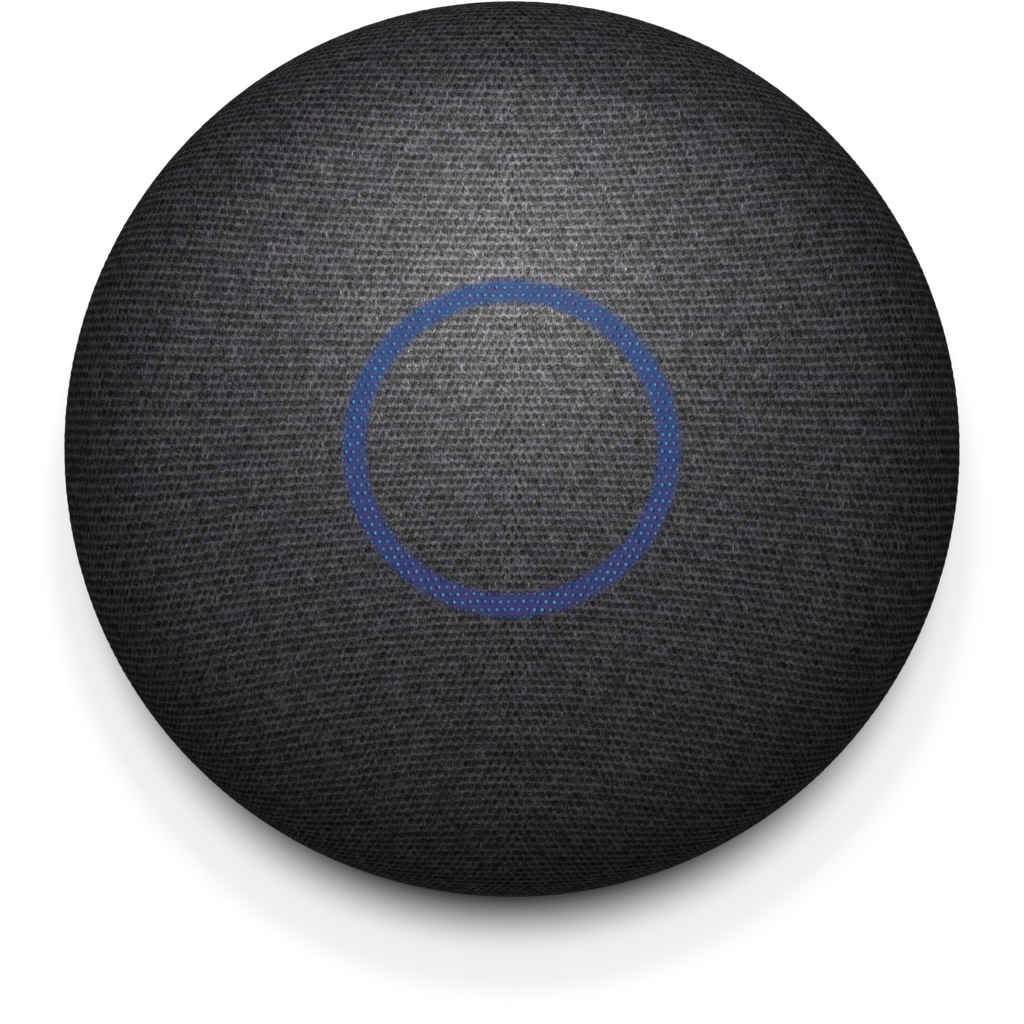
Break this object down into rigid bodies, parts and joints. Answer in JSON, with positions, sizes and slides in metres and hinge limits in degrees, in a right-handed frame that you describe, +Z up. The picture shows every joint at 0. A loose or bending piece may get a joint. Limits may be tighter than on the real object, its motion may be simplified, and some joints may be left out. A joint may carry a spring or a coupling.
{
  "type": "smart speaker",
  "caption": "Puck-shaped smart speaker with a fabric dome, a light ring, a mute slider, a recessed reset button, a power inlet at the rear and a keyhole in the base.",
  "frame": {"origin": "centre of the rubber foot's underside", "axes": "+Z up through the fabric dome, +Y towards the power inlet at the rear, +X towards the mute slider"},
  "size_m": [0.1, 0.1, 0.042],
  "materials": {
    "fabric": "knitted dark grey melange textile",
    "dome_plastic": "moulded, fine texture",
    "light_ring": "milky translucent, lit from below",
    "circuit_board": "solder mask",
    "led": "small lamp body",
    "foam": "soft closed-cell foam",
    "film": "amber film",
    "base_plastic": "moulded, fine texture",
    "foot_rubber": "matt silicone rubber",
    "screw_steel": "zinc-nickel plated",
    "shield_steel": "tinned",
    "chip": "moulded package",
    "pad": "soft heat-conducting pad",
    "aluminium": "blanked sheet",
    "socket_steel": "drawn stainless shell",
    "knob_plastic": "moulded",
    "box_plastic": "moulded",
    "basket_steel": "pressed and coated",
    "motor_steel": "zinc plated",
    "ferrite": "sintered magnet",
    "copper": "enamelled copper wire",
    "cone_paper": "pressed pulp",
    "soft_rubber": "soft moulded rubber",
    "spider_cloth": "resin-treated cloth",
    "connector": "moulded header",
    "wire": "insulated wire"
  },
  "bodies": {
    "housing": {"antennas": "film", "base_screws": "screw_steel", "base_shell": "base_plastic", "board_chips": "chip", "board_screws": "screw_steel", "box_lid": "box_plastic", "cable_connectors": "connector", "driver_basket": "basket_steel", "driver_gasket": "foam", "driver_screws": "screw_steel", "driver_terminals": "circuit_board", "fabric_cover": "fabric", "flat_cable": "film", "foam_ring": "foam", "grille_dome": "dome_plastic", "heat_spreader": "aluminium", "led_board": "circuit_board", "leds": "led", "light_ring": "light_ring", "magnet": "ferrite", "main_board": "circuit_board", "mic_boards": "circuit_board", "mic_boots": "soft_rubber", "microphones": "shield_steel", "motor_top_plate": "motor_steel", "mute_switch_body": "chip", "power_socket": "socket_steel", "power_tongue": "chip", "processor": "chip", "reset_switch": "chip", "rubber_foot": "foot_rubber", "shield_can": "shield_steel", "speaker_box": "box_plastic", "speaker_wire": "wire", "spider": "spider_cloth", "surround": "soft_rubber", "thermal_pad": "pad", "touch_film_left": "film", "touch_film_right": "film", "wire_grommet": "soft_rubber", "yoke": "motor_steel"},
    "diaphragm": {"cone": "cone_paper", "dust_cap": "cone_paper", "coil_former": "film", "voice_coil": "copper"},
    "mute_slider": {"mute_knob": "knob_plastic", "mute_lever": "knob_plastic"},
    "reset_button": {"reset_button": "knob_plastic", "reset_plunger": "chip"}
  },
  "joints": [
    {"name": "diaphragm_travel", "type": "slide", "parent": "housing", "child": "diaphragm", "axis": [0, 0, 1], "range_m": [-0.0015, 0.0015], "stiffness_N_per_m": 1200, "deforming": ["surround", "spider"]},
    {"name": "mute_slide", "type": "slide", "parent": "housing", "child": "mute_slider", "axis": [0, 1, 0], "range_m": [0, 0.002]},
    {"name": "reset_press", "type": "slide", "parent": "housing", "child": "reset_button", "axis": [0, 0, 1], "range_m": [0, 0.0003], "stiffness_N_per_m": 3000}
  ]
}
